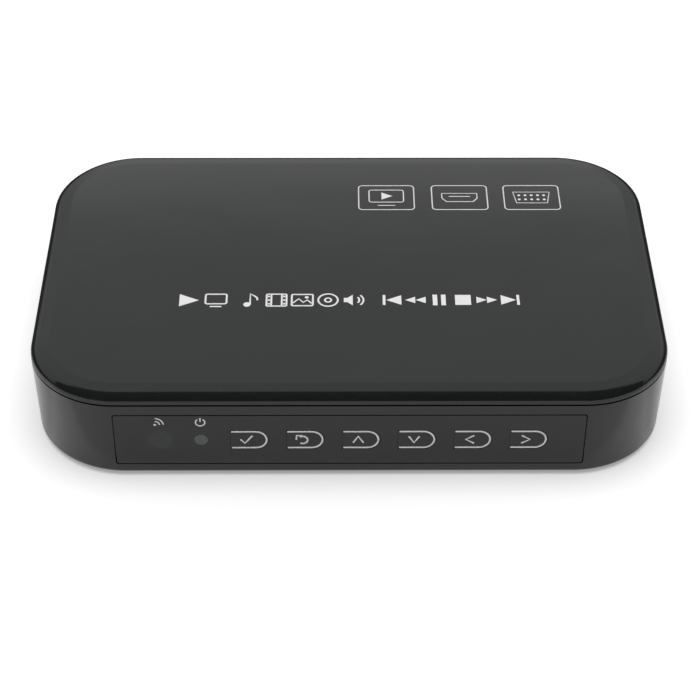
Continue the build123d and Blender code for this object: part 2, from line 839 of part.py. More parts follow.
with BuildPart() as vga_jack_nuts:
    with BuildSketch(Plane.XZ.offset(-vga_face_y)):
        with Locations(*nut_spots):
            RegularPolygon(jack_nut_flats / 2, 6, major_radius=False)
    extrude(amount=-jack_nut_height)
    with BuildSketch(Plane.XZ.offset(-vga_face_y)):
        with Locations(*nut_spots):
            Circle(nut_stud_radius)
    extrude(amount=nut_stud_length)
    with BuildSketch(Plane.XZ.offset(-vga_face_y)):
        with Locations(*nut_spots):
            Circle(jack_nut_bore)
    extrude(amount=-jack_nut_height, mode=Mode.SUBTRACT)
save(vga_jack_nuts, "vga_jack_nuts")


def make_jack(middle_x, bore):
    """A round socket: a block on the board with a nose in the rear wall."""
    middle_z = board_top + jack_height / 2
    with BuildPart() as jack:
        with BuildSketch(Plane.XZ.offset(-(rear_face_y - jack_nose))):
            with Locations((middle_x, middle_z)):
                Rectangle(jack_width, jack_height)
        extrude(amount=jack_depth)
        with BuildSketch(Plane.XZ.offset(-rear_face_y)):
            with Locations((middle_x, middle_z)):
                Circle(jack_nose_radius)
        extrude(amount=jack_nose)
        with BuildSketch(Plane.XZ.offset(-rear_face_y)):
            with Locations((middle_x, middle_z)):
                Circle(bore)
        extrude(amount=jack_depth, mode=Mode.SUBTRACT)
        with BuildSketch(Plane.XZ.offset(-rear_face_y)):
            with Locations((middle_x, middle_z)):
                Circle(bore + jack_mouth_flare)
        extrude(amount=jack_nose, taper=degrees(atan(jack_mouth_flare / jack_nose)), mode=Mode.SUBTRACT)
    return jack


save(make_jack(av_x, jack_bore), "av_jack")
save(make_jack(dc_x, dc_bore), "dc_jack")
with BuildPart() as dc_jack_pin:
    with BuildSketch(Plane.XZ.offset(-(rear_face_y - mouth_setback))):
        with Locations((dc_x, board_top + jack_height / 2)):
            Circle(dc_pin_radius)
    extrude(amount=jack_depth - mouth_setback)
    chamfer(dc_jack_pin.edges().group_by(Axis.Y)[-1], pin_bevel)
save(dc_jack_pin, "dc_jack_pin")

# ---- Side sockets
usb_z = board_top + usb_height / 2
with BuildPart() as usb_socket:
    with BuildSketch(Plane.YZ.offset(left_face_x)):
        with Locations((usb_y, usb_z)):
            RectangleRounded(usb_width, usb_height, panel_round)
    extrude(amount=usb_depth)
    with BuildSketch(Plane.YZ.offset(left_face_x)):
        with Locations((usb_y, usb_z)):
            Rectangle(usb_width - 2 * sheet, usb_height - 2 * sheet)
    extrude(amount=usb_depth - sheet, mode=Mode.SUBTRACT)
save(usb_socket, "usb_socket")

with BuildPart() as usb_tongue:
    with BuildSketch(Plane.YZ.offset(left_face_x + mouth_setback)):
        with Locations((usb_y, usb_z + sheet * 2)):
            Rectangle(usb_tongue_width, usb_tongue_wall)
    extrude(amount=usb_depth - sheet - mouth_setback)
save(usb_tongue, "usb_tongue")

card_z = board_z - card_height / 2
with BuildPart() as card_slot:
    with BuildSketch(Plane.YZ.offset(left_face_x + case_wall)):
        with Locations((card_y, card_z)):
            Rectangle(card_width, card_height)
    extrude(amount=card_depth)
    with BuildSketch(Plane.YZ.offset(left_face_x + case_wall)):
        with Locations((card_y, card_z)):
            Rectangle(card_slot_width, card_slot_height)
    extrude(amount=card_depth - case_wall, mode=Mode.SUBTRACT)
save(card_slot, "card_slot")

# ---- Drive connector's socket, hung under the main board at the bay's inner end
plug_y = bay_middle_y - plug_offset
tongue_z = drive_z + plug_tongue_z
nose_width = plug_width + 2 * (socket_gap + socket_wall)
with BuildPart() as sata_socket:
    block(
        (bay_inner_x, drive_end_x - drive_slack),
        (plug_y - nose_width / 2 - socket_shoulder, plug_y + nose_width / 2 + socket_shoulder),
        (tongue_z - socket_height / 2, board_z),
    )
    block(
        (drive_end_x - drive_slack, drive_end_x + socket_entry),
        (plug_y - nose_width / 2, plug_y + nose_width / 2),
        (tongue_z - socket_height / 2, tongue_z + socket_height / 2),
    )
    block(
        (drive_end_x - socket_entry, drive_end_x + socket_entry),
        (plug_y - plug_width / 2 - socket_gap, plug_y + plug_width / 2 + socket_gap),
        (tongue_z - plug_tongue / 2 - socket_gap, tongue_z + plug_tongue / 2 + socket_gap),
        Mode.SUBTRACT,
    )
save(sata_socket, "sata_socket")

# ---- Drive
drive_middle_x = drive_end_x + drive_length / 2
drive_spot = (drive_middle_x, bay_middle_y)
hole_points = [
    (drive_end_x + drive_hole_near, drive_z + drive_hole_z),
    (drive_end_x + drive_length - drive_hole_far, drive_z + drive_hole_z),
]
side_planes = {side: bay_middle_y + side * drive_width / 2 for side in (-1, 1)}


def side_holes(side, radius, start, depth, mode=Mode.ADD):
    """Posts or holes along y at the drive's side holes, from start outside its side to depth inside."""
    plane = Plane.XZ.offset(-(side_planes[side] + side * start))
    with BuildSketch(plane) as spots:
        with Locations(*hole_points):
            Circle(radius)
    return extrude(spots.sketch, amount=side * (start + depth), mode=mode)


with BuildPart() as drive_base:
    with BuildSketch(Plane.XY.offset(drive_z)):
        with Locations(drive_spot):
            RectangleRounded(drive_length, drive_width, drive_round)
    extrude(amount=drive_height - drive_lid_height)
    with BuildSketch(Plane.XY.offset(drive_z)):
        with Locations(drive_spot):
            Rectangle(drive_length - 4 * circuit_margin, drive_width - 2 * circuit_margin)
    extrude(amount=circuit_pocket, mode=Mode.SUBTRACT)
    block(
        (drive_end_x - 1, drive_end_x + plug_recess_depth),
        (plug_y - nose_width / 2 - circuit_gap, plug_y + nose_width / 2 + circuit_gap),
        (drive_z, tongue_z + socket_height / 2 + circuit_gap),
        Mode.SUBTRACT,
    )
    for side in side_planes:
        side_holes(side, drive_hole_radius, 1, drive_hole_depth, Mode.SUBTRACT)
save(drive_base, "drive_base")

with BuildPart() as drive_circuit:
    with BuildSketch(Plane.XY.offset(drive_z + circuit_pocket - circuit_wall)):
        with Locations(drive_spot):
            Rectangle(
                drive_length - 4 * circuit_margin - 2 * circuit_gap,
                drive_width - 2 * circuit_margin - 2 * circuit_gap,
            )
    extrude(amount=circuit_wall)
save(drive_circuit, "drive_circuit")

with BuildPart() as drive_connector:
    block(
        (drive_end_x + socket_entry + circuit_gap, drive_end_x + plug_recess_depth),
        (plug_y - plug_width / 2, plug_y + plug_width / 2),
        (tongue_z - socket_height / 2, tongue_z + socket_height / 2),
    )
    block(
        (drive_end_x + circuit_gap, drive_end_x + plug_recess_depth),
        (plug_y - plug_width / 2, plug_y + plug_width / 2),
        (tongue_z - plug_tongue / 2, tongue_z + plug_tongue / 2),
    )
save(drive_connector, "drive_connector")

platter_x = drive_end_x + drive_length - drive_width / 2
with BuildPart() as drive_lid:
    lid_z = drive_top - drive_lid_height
    with BuildSketch(Plane.XY.offset(lid_z)):
        with Locations(drive_spot):
            RectangleRounded(drive_length - 2 * lid_margin, drive_width - 2 * lid_margin, drive_round)
    extrude(amount=lid_plate)
    with BuildSketch(Plane.XY.offset(lid_z + lid_plate)):
        with Locations((platter_x, bay_middle_y)):
            Circle(drive_width / 2 - platter_margin)
        with Locations((drive_end_x + drive_width / 2, bay_middle_y)):
            RectangleRounded(drive_width / 2, drive_width - 4 * circuit_margin, circuit_margin)
    extrude(amount=drive_lid_height - lid_plate)
save(drive_lid, "drive_lid")

with BuildPart() as drive_lid_screws:
    with BuildSketch(Plane.XY.offset(lid_z + lid_plate)):
        with Locations(drive_spot):
            with GridLocations(drive_length - 2 * lid_screw_inset, drive_width - 2 * lid_screw_inset, 2, 2):
                Circle(lid_screw_radius)
    extrude(amount=drive_lid_height - lid_plate)
save(drive_lid_screws, "drive_lid_screws")

# ---- Tray, its screws and its front
outside = drive_slack + tray_wall  # from the drive's side to the tray's
with BuildPart() as drive_tray:
    block(
        (drive_end_x, tray_end_x),
        (bay_middle_y - tray_width / 2, bay_middle_y + tray_width / 2),
        (tray_z, drive_z + tray_side_height - tray_floor),
    )
    block(
        (drive_end_x - 1, tray_end_x - tray_end_wall),
        (bay_middle_y - tray_width / 2 + tray_wall, bay_middle_y + tray_width / 2 - tray_wall),
        (drive_z, drive_top),
        Mode.SUBTRACT,
    )
    for side in side_planes:
        side_holes(side, board_screw_head, outside + 1, 0, Mode.SUBTRACT)
        side_holes(side, tray_screw_head + root_gap, outside + 1, screw_head_sink - outside, Mode.SUBTRACT)
save(drive_tray, "drive_tray")

with BuildPart() as drive_screws:
    for side in side_planes:
        side_holes(side, tray_screw_head, outside, screw_head_sink - outside)
        side_holes(side, drive_hole_radius - root_gap, outside, drive_hole_depth - circuit_gap)
save(drive_screws, "drive_screws")

bezel_y = (bay_front_y + bezel_gap, bay_rear_y - bezel_gap)
bezel_z = (floor_z + bezel_gap, board_z - bezel_gap)
with BuildPart() as bezel_hollow:
    for y_range in (
        (bezel_y[0] + bezel_wall, bay_middle_y - grip_block / 2),
        (bay_middle_y + grip_block / 2, bezel_y[1] - bezel_wall),
    ):
        block((tray_end_x, case_width), y_range, (bezel_z[0] + bezel_wall, bezel_z[1] - bezel_wall))
    add(case_cavity.part, mode=Mode.INTERSECT)

with BuildPart() as tray_bezel:
    block((tray_end_x, case_width), bezel_y, bezel_z)
    add(case_form.part, mode=Mode.INTERSECT)
    add(bezel_hollow.part, mode=Mode.SUBTRACT)
    grip_z = (bezel_z[0] + bezel_z[1]) / 2
    grip_face_x = case_width / 2 - draft * (rim_z - grip_z) / case_height
    with BuildSketch(Plane.YZ.offset(grip_face_x - grip_depth)):
        with Locations((bay_middle_y, grip_z)):
            SlotOverall(grip_length, grip_height)
    extrude(amount=2 * grip_depth, mode=Mode.SUBTRACT)
save(tray_bezel, "tray_bezel")

# ---- Case screws and feet
with BuildPart() as case_screws:
    well_z = underside_z + well_depth
    discs(boss_points, screw_head_radius, (well_z - screw_head_height, well_z))
    discs(boss_points, screw_radius, (well_z, screw_end_z - circuit_gap))
save(case_screws, "case_screws")

with BuildPart() as rubber_feet:
    discs(foot_points, foot_radius, (0, underside_z + foot_recess))
    chamfer(rubber_feet.edges().group_by(Axis.Z)[0], foot_bevel)
save(rubber_feet, "rubber_feet")
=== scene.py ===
# %% [markdown]
# # A small media player
#
# The real object is a thin black box of glossy moulded plastic. A domed cover sits over a lower case with
# a shadow gap between them, a smoked strip is let into the front with six keys cut in it, and a
# hard-drive tray slides out at the right. The measured model of every piece is loaded first and never
# moved. What follows gives each piece its finish, and adds what the measured model leaves out: crosses in
# the screws, contacts in the sockets and the printing.

from math import atan, cos, radians, sin

import bmesh
import bpy
from mathutils import Matrix, Vector


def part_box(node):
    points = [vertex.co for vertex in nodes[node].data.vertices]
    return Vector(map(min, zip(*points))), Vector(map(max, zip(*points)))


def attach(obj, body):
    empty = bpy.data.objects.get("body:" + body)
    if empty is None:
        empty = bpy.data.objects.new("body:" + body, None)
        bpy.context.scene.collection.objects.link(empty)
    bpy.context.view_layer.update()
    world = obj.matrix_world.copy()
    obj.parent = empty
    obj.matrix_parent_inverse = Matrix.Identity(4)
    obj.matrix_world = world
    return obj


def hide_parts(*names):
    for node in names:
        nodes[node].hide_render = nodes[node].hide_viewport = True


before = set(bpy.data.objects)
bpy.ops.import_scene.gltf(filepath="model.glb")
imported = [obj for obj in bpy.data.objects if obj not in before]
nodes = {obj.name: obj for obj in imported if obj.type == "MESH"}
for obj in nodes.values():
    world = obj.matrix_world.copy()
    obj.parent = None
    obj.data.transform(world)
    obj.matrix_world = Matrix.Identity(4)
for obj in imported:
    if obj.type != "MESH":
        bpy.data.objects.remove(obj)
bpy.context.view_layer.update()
MM = 0.001
print("pieces loaded:", len(nodes))

# %% [markdown]
# ## The camera
#
# The photograph looks down on the player from the front at about 40 degrees, from a little over half a
# metre away. A long lens keeps the sides nearly parallel. The camera could be aimed by eye, but here its
# place was worked out from the corners of the case in the photograph, so it is written down as numbers.

# %% Camera
VIEW_TILT = radians(40.27)
VIEW_YAW = radians(-0.49)
VIEW_ROLL = radians(0.24)
VIEW_DISTANCE = 546.6 * MM
VIEW_TARGET = Vector((0.4, 0.0, -2.09)) * MM
LENS = 103.7

backward = Vector((sin(VIEW_YAW) * cos(VIEW_TILT), -cos(VIEW_YAW) * cos(VIEW_TILT), sin(VIEW_TILT)))
level_right = Vector((cos(VIEW_YAW), sin(VIEW_YAW), 0))
level_up = backward.cross(level_right)
right = level_right * cos(VIEW_ROLL) + level_up * sin(VIEW_ROLL)
up = level_up * cos(VIEW_ROLL) - level_right * sin(VIEW_ROLL)

camera = bpy.data.objects.new("camera", bpy.data.cameras.new("camera"))
camera.data.lens = LENS
camera.data.sensor_width = 36
camera.data.clip_start = 0.01
turn = Matrix((right, up, backward)).transposed()
camera.matrix_world = Matrix.Translation(VIEW_TARGET + backward * VIEW_DISTANCE) @ turn.to_4x4()
bpy.context.scene.collection.objects.link(camera)
bpy.context.scene.camera = camera
bpy.context.scene.view_settings.view_transform = "Standard"
print("camera at", [round(v, 4) for v in camera.matrix_world.translation])

# %% [markdown]
# ## Writing materials as sums
#
# A procedural material is a graph of small nodes. Wired by hand, even a short formula takes many lines. A
# small class that wraps one socket lets Python's own operators add the Math nodes, so a mask reads as a
# formula.

# %% A socket that does arithmetic
class Wire:
    """One output socket of a shader graph, usable in ordinary sums."""

    def __init__(self, graph, socket):
        self.graph = graph
        self.socket = socket

    def math(self, operation, *others):
        return self.graph.add("ShaderNodeMath", {"operation": operation}, dict(enumerate((self, *others))))

    def __add__(self, other):
        return self.math("ADD", other)

    def __sub__(self, other):
        return self.math("SUBTRACT", other)

    def __mul__(self, other):
        return self.math("MULTIPLY", other)

    def __rsub__(self, other):
        return self.graph.add("ShaderNodeMath", {"operation": "SUBTRACT"}, {0: other, 1: self})

    __radd__ = __add__
    __rmul__ = __mul__

    def rise(self, low, high):
        """0 below low, 1 above high, smooth between."""
        settings = {"interpolation_type": "SMOOTHSTEP"}
        return self.graph.add("ShaderNodeMapRange", settings, {0: self, 1: low, 2: high})


print("a socket can now be added, subtracted and multiplied")

# %% A tree that adds nodes
class Graph:
    """A node tree with one way to add any node."""

    def __init__(self, tree):
        self.tree = tree
        self.tree.nodes.clear()

    def add(self, kind, settings=None, values=None, output=0):
        node = self.tree.nodes.new(kind)
        for name, value in (settings or {}).items():
            setattr(node, name, value)
        for key, value in (values or {}).items():
            if isinstance(value, Wire):
                self.tree.links.new(value.socket, node.inputs[key])
            else:
                node.inputs[key].default_value = value
        return Wire(self, node.outputs[output]) if node.outputs else None

    def place(self):
        return self.add("ShaderNodeTexCoord", output="Object")

    def axes(self, vector):
        """The x, y and z of a vector."""
        split = self.add("ShaderNodeSeparateXYZ", values={0: vector})
        return [Wire(self, output) for output in split.socket.node.outputs]

    def noise(self, scale, detail=2.0, stretch=(1, 1, 1)):
        place = self.add("ShaderNodeMapping", values={"Vector": self.place(), "Scale": stretch})
        return self.add("ShaderNodeTexNoise", values={"Vector": place, "Scale": scale, "Detail": detail})

    def mix(self, factor, first, second):
        """A colour between two colours."""
        values = {0: factor, 6: first, 7: second}
        return self.add("ShaderNodeMix", {"data_type": "RGBA"}, values, output=2)

    def bump(self, height, depth, strength=1.0):
        values = {"Height": height, "Distance": depth, "Strength": strength}
        return self.add("ShaderNodeBump", values=values)


print("shader helpers ready")

# %% [markdown]
# ## Floor, surroundings and light
#
# Black gloss plastic shows almost nothing but what it mirrors. The photograph was taken on a white table
# with a white backdrop that rises behind the player, while the room over the camera stayed dark: that
# dark part is the black line along the cover's front edge. The surroundings are therefore painted as a
# sky that is white low down and behind, and dark overhead and in front. What the plastic mirrors is
# painted a little finer: straight behind, the backdrop glows above the horizon, which gives the bright
# rear of the cover, and near the horizon it is dark, which gives the dark line round the cover's edge.
# The table gets the same treatment: as the plastic mirrors it, a strip under the front edge glows pale,
# a painted reflection that brightens the case's bottom edge, and far behind it is dim, a painted dark
# reflection. One soft lamp adds the rest of the light. A pair of numbers says where a change begins and
# ends, and a height in the sky is the sine of its angle: 0 at the horizon, 1 overhead.

# %% Backdrop and room
BACKDROP_LEVEL = 0.66
ROOM_LEVEL = 0.05
BACKDROP_TOP = 0.16
BACKDROP_CLIMB = 0.76
BACKDROP_RIM = (-0.07, 0.05)
FRONT_TO_BACK = (-0.35, 0.3)
world = bpy.data.worlds.new("studio")
bpy.context.scene.world = world
world.use_nodes = True
sky = Graph(world.node_tree)
sky_x, sky_y, sky_z = sky.axes(sky.add("ShaderNodeTexCoord", output="Generated"))
top_of_backdrop = sky_y.rise(*FRONT_TO_BACK) * BACKDROP_CLIMB + BACKDROP_TOP
backdrop = 1 - (sky_z - top_of_backdrop).rise(*BACKDROP_RIM)
print("backdrop ends at", BACKDROP_TOP, "in front and at", BACKDROP_TOP + BACKDROP_CLIMB, "behind")

# %% What the plastic mirrors
HORIZON_RIM = (0.1, 0.44)
GLOW_SIDES = (0.12, 0.26)
GLOW_TOP = (0.572, 0.59)
GLOW_LEVEL = 0.45
HALO_TOP = (0.57, 0.62)
HALO_LEVEL = 0.12
straight_back = 1 - sky_x.math("ABSOLUTE").rise(*GLOW_SIDES)
low_glow = (1 - sky_z.rise(*GLOW_TOP)) * GLOW_LEVEL + (1 - sky_z.rise(*HALO_TOP)) * HALO_LEVEL
mirrored_level = sky_z.rise(*HORIZON_RIM) * (BACKDROP_LEVEL + low_glow * straight_back)
camera_ray = sky.add("ShaderNodeLightPath", output="Is Camera Ray")
mirror_ray = sky.add("ShaderNodeLightPath", output="Is Glossy Ray")
studio_level = backdrop * (BACKDROP_LEVEL * (1 - mirror_ray) + mirrored_level * mirror_ray) + ROOM_LEVEL
seen_level = camera_ray + studio_level * (1 - camera_ray)
light_out = sky.add("ShaderNodeBackground", values={"Color": (1, 1, 1, 1), "Strength": seen_level})
sky.add("ShaderNodeOutputWorld", values={"Surface": light_out})
print("sky painted with", len(world.node_tree.nodes), "nodes")

# %% Table
FLOOR_RADIUS = 3.0
bm = bmesh.new()
bmesh.ops.create_circle(bm, cap_ends=True, segments=64, radius=FLOOR_RADIUS)
floor_mesh = bpy.data.meshes.new("floor")
bm.to_mesh(floor_mesh)
bm.free()
floor = bpy.data.objects.new("floor", floor_mesh)
bpy.context.scene.collection.objects.link(floor)
print("table", 2 * FLOOR_RADIUS, "m across")

# %% White table finish
PAPER = ((0.84, 0.84, 0.84, 1), (0.86, 0.86, 0.86, 1))
SEEN_LIFT = 0.32
MIRRORED_LIFT = 0.07
EDGE_Y = -0.047
EDGE_SIDES = (0.006, 0.012)
EDGE_LIFT = 0.22
FAR_SIDE = (-0.02, 0.04)
FAR_LEVEL = 0.06
floor_finish = bpy.data.materials.new("white_table")
floor_finish.use_nodes = True
table = Graph(floor_finish.node_tree)
matte = table.add("ShaderNodeBsdfDiffuse", values={"Color": table.mix(table.noise(40.0), *PAPER)})
seen = table.add("ShaderNodeLightPath", output="Is Camera Ray")
mirrored = table.add("ShaderNodeLightPath", output="Is Glossy Ray")
table_y = table.axes(table.place())[1]
# Painted reflection: only as the plastic mirrors it, a strip of table under the front edge glows brighter,
# which brightens the case's bottom edge where the table lies in its shadow.
mirrored_glow_under_edge = 1 - (table_y - EDGE_Y).math("ABSOLUTE").rise(*EDGE_SIDES)
lift = seen * SEEN_LIFT + mirrored * (mirrored_glow_under_edge * EDGE_LIFT + MIRRORED_LIFT)
glow = table.add("ShaderNodeEmission", values={"Color": (1, 1, 1, 1), "Strength": lift})
both = table.add("ShaderNodeAddShader", values={0: matte, 1: glow})
# Painted dark reflection: only as the plastic mirrors it, the table far behind shows dim, which darkens the
# rounded edges of the case.
dim = table.add("ShaderNodeEmission", values={"Color": (1, 1, 1, 1), "Strength": FAR_LEVEL})
mirrored_dim_far_side = table_y.rise(*FAR_SIDE) * mirrored
seen_or_mirrored = table.add("ShaderNodeMixShader", values={0: mirrored_dim_far_side, 1: both, 2: dim})
table.add("ShaderNodeOutputMaterial", values={"Surface": seen_or_mirrored})
floor_mesh.materials.append(floor_finish)
print("table painted with", len(floor_finish.node_tree.nodes), "nodes")

# %% Lamp
LAMP_SIZE = 1.6
LAMP_WATTS = 22.0
LAMP_PLACE = (0.0, -0.3, 1.6)
LAMP_TURN = radians(-10)
lamp = bpy.data.lights.new("soft_lamp", "AREA")
lamp.shape = "DISK"
lamp.size = LAMP_SIZE
lamp.energy = LAMP_WATTS
lamp_object = bpy.data.objects.new("soft_lamp", lamp)
lamp_object.matrix_world = Matrix.Translation(LAMP_PLACE) @ Matrix.Rotation(LAMP_TURN, 4, "X")
lamp_object.visible_glossy = False
bpy.context.scene.collection.objects.link(lamp_object)
print("lamp of", LAMP_WATTS, "W,", LAMP_SIZE, "m across")

# %% [markdown]
# ## Finishes
#
# Each finish starts from the same physically based shader and differs in colour, polish and fine relief.
# Values that hold all over a piece are written on the shader itself. Only what changes over the surface
# comes from nodes: faint flow in moulded plastic, the rolled grain of sheet metal, the dull streaks of a
# fingertip. Patterns are measured in metres, so a noise of scale 1000 changes about every millimetre.

# %% A new finish
def finish(name, **constants):
    """A material with one main shader, and the graph that feeds it."""
    material = bpy.data.materials.new(name)
    material.use_nodes = True
    graph = Graph(material.node_tree)
    shader = graph.add("ShaderNodeBsdfPrincipled")
    sockets = shader.socket.node.inputs
    for key, value in constants.items():
        sockets[key.replace("_", " ")].default_value = value
    graph.add("ShaderNodeOutputMaterial", values={"Surface": shader})
    return material, graph, sockets


def feed(graph, sockets, **links):
    """Link what varies over the surface."""
    for key, wire in links.items():
        graph.tree.links.new(wire.socket, sockets[key.replace("_", " ")])


print("a finish is one main shader and the nodes that feed it")

# %% Where a measured piece is
def extent(name):
    """The lowest and the highest corner of a measured piece, in millimetres."""
    return [[v / MM for v in corner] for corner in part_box(name)]


def middle(name):
    """The middle of a measured piece, in millimetres."""
    return [(low + high) / 2 for low, high in zip(*extent(name))]


strip_low, strip_high = extent("front_panel")
print("front strip is", round(strip_high[0] - strip_low[0], 1), "mm wide")

# %% Moulded black gloss
DUST = (0.25, 0.25, 0.24, 1)
PALE_WINDOW = (0.018, 0.0195, 0.0205, 1)
WINDOW_CORE = 0.55


def gloss_plastic(name, dark, light, polish, haze, window=None):
    """Polished moulded plastic: faint orange peel, smears, specks of dust and a paler round window."""
    material, graph, sockets = finish(name, IOR=1.5)
    flow = graph.noise(60.0, 3.0)
    smear = graph.noise(25.0, 4.0, (1, 3, 1))
    speck = graph.noise(3600.0, 0.0).rise(0.78, 0.82)
    colour = graph.mix(flow, (*dark, 1), (*light, 1))
    if window:
        x, z, radius = window
        place_x, _, place_z = graph.axes(graph.place())
        across, above = place_x - x, place_z - z
        away = (across * across + above * above).math("SQRT")
        colour = graph.mix(1 - away.rise(radius * WINDOW_CORE, radius), colour, PALE_WINDOW)
    dusty = graph.mix(speck * 0.07, colour, DUST)
    peel = graph.noise(420.0, 1.0)
    feed(
        graph,
        sockets,
        Base_Color=dusty,
        Roughness=smear.rise(0.35, 0.75) * haze + polish + speck * 0.1,
        Normal=graph.bump(peel, 0.00002, 0.12),
    )
    return material


CASE_BLACK = ((0.0078, 0.0089, 0.0089), (0.0108, 0.0119, 0.0119))
case_gloss = gloss_plastic("case_gloss", *CASE_BLACK, 0.07, 0.05)
SMOKED = ((0.0039, 0.0047, 0.0055), (0.0059, 0.0067, 0.0075))
STRIP_Z = 12.3
WINDOW_X = middle("ir_receiver")[0]
WINDOW_RADIUS = 3.9
infrared_window = (WINDOW_X * MM, STRIP_Z * MM, WINDOW_RADIUS * MM)
strip_gloss = gloss_plastic("strip_gloss", *SMOKED, 0.10, 0.04, infrared_window)
print("finish:", case_gloss.name, strip_gloss.name)

# %% Plain mouldings
def matte_plastic(name, dark, light, polish, grain_scale=1500.0, depth=0.00006):
    """Spark-eroded plastic with a fine grain."""
    material, graph, sockets = finish(name, IOR=1.46)
    flow = graph.noise(90.0, 3.0)
    grain = graph.noise(grain_scale, 2.0)
    feed(
        graph,
        sockets,
        Base_Color=graph.mix(flow * 0.7 + grain * 0.3, (*dark, 1), (*light, 1)),
        Roughness=grain * 0.12 + (polish - 0.06),
        Normal=graph.bump(grain, depth, 0.5),
    )
    return material


MOULDINGS = {
    "blue_plastic": ((0.008, 0.035, 0.16), (0.012, 0.05, 0.21), 0.42),
    "black_plastic": ((0.012, 0.012, 0.013), (0.022, 0.022, 0.024), 0.46),
    "white_plastic": ((0.70, 0.69, 0.64), (0.80, 0.79, 0.74), 0.45),
    "chip_black": ((0.02, 0.02, 0.021), (0.035, 0.035, 0.036), 0.6, 4000.0),
    "rubber": ((0.018, 0.018, 0.018), (0.03, 0.03, 0.029), 0.75, 2500.0, 0.0001),
}
for name, values in MOULDINGS.items():
    matte_plastic(name, *values)
print("mouldings:", ", ".join(MOULDINGS))

# %% Metals
def sheet_metal(name, dark, light, polish, stretch, depth=0.00001):
    """Rolled or machined metal with its grain along one direction."""
    material, graph, sockets = finish(name, Metallic=1.0)
    grain = graph.noise(900.0, 3.0, stretch)
    wear = graph.noise(120.0, 3.0)
    feed(
        graph,
        sockets,
        Base_Color=graph.mix(wear * 0.6 + grain * 0.4, (*dark, 1), (*light, 1)),
        Roughness=grain * 0.16 + wear * 0.08 + (polish - 0.12),
        Normal=graph.bump(grain, depth, 0.6),
    )
    return material


METALS = {
    "plated_steel": ((0.50, 0.50, 0.49), (0.70, 0.70, 0.68), 0.30, (1, 6, 1)),
    "gold_plate": ((0.72, 0.52, 0.20), (0.86, 0.66, 0.30), 0.24, (6, 1, 1)),
    "cast_alloy": ((0.42, 0.43, 0.44), (0.58, 0.59, 0.60), 0.46, (1, 1, 1), 0.00004),
    "steel_lid": ((0.60, 0.61, 0.62), (0.72, 0.73, 0.74), 0.26, (1, 12, 1)),
    "black_fins": ((0.02, 0.02, 0.022), (0.05, 0.05, 0.052), 0.48, (6, 1, 1)),
}
metals = {name: sheet_metal(name, *values) for name, values in METALS.items()}
print("metals:", ", ".join(metals))

# %% [markdown]
# ## Circuit boards
#
# A board is glass cloth under green lacquer. Copper tracks show through as slightly raised, slightly
# lighter lines, with gold pads where parts are soldered. A grid of cells, each with its own random turn,
# gives tracks that look routed without an image.

# %% Circuit board finish
BOARD_CELLS = 330.0
GOLD_PAD = (0.62, 0.46, 0.16, 1)


def board_lacquer(name, dark, light):
    """Green lacquer over routed tracks, with gilded pads."""
    material, graph, sockets = finish(name, IOR=1.5, Coat_Weight=0.3, Coat_Roughness=0.15)
    place = graph.place()
    grid = {"Vector": place, "Scale": BOARD_CELLS}
    cells = graph.add("ShaderNodeTexVoronoi", {"distance": "MANHATTAN"}, grid)
    edge = graph.add("ShaderNodeTexVoronoi", {"distance": "MANHATTAN", "feature": "F2"}, grid)
    track = 1 - (edge - cells).rise(0.10, 0.16)
    weave = graph.noise(2500.0, 1.0)
    lacquer = graph.mix(weave, (*dark, 1), tuple(0.7 * a + 0.3 * b for a, b in zip(dark, light)) + (1,))
    pads = 1 - cells.rise(0.07, 0.09)
    tracked = graph.mix(track * 0.8, lacquer, (*light, 1))
    feed(
        graph,
        sockets,
        Base_Color=graph.mix(pads, tracked, GOLD_PAD),
        Metallic=pads,
        Roughness=weave * 0.1 + 0.32,
        Normal=graph.bump(track, 0.00003, 0.6),
    )
    return material


green_board = board_lacquer("green_board", (0.006, 0.055, 0.022), (0.02, 0.13, 0.06))
print("finish:", green_board.name)

# %% Lens, light and ink
def lens_plastic():
    """A frosted light guide, a shade paler than the strip round it."""
    material, graph, sockets = finish("lens_plastic", IOR=1.5, Roughness=0.25)
    cloud = graph.noise(900.0, 2.0)
    feed(graph, sockets, Base_Color=graph.mix(cloud, (0.055, 0.068, 0.068, 1), (0.095, 0.11, 0.108, 1)))
    return material


def led_plastic():
    """Clear cast resin, a little milky."""
    material, graph, sockets = finish("led_resin", IOR=1.5, Roughness=0.12, Transmission_Weight=0.5)
    cloud = graph.noise(700.0, 2.0)
    feed(graph, sockets, Base_Color=graph.mix(cloud, (0.7, 0.78, 0.8, 1), (0.86, 0.9, 0.9, 1)))
    return material


def silver_ink():
    """Screen-printed pale ink: slightly uneven, with a satin face."""
    material, graph, sockets = finish("silver_ink", IOR=1.45)
    patch = graph.noise(1800.0, 3.0)
    feed(
        graph,
        sockets,
        Base_Color=graph.mix(patch, (0.74, 0.74, 0.73, 1), (0.88, 0.88, 0.87, 1)),
        Roughness=patch * 0.2 + 0.38,
    )
    return material


lens_clear = lens_plastic()
led_resin = led_plastic()
ink = silver_ink()
print("finish:", lens_clear.name, led_resin.name, ink.name)

# %% [markdown]
# ## Putting finishes on the measured pieces
#
# A measured piece keeps its shape. Only its material changes, so one table says which finish each one
# takes.

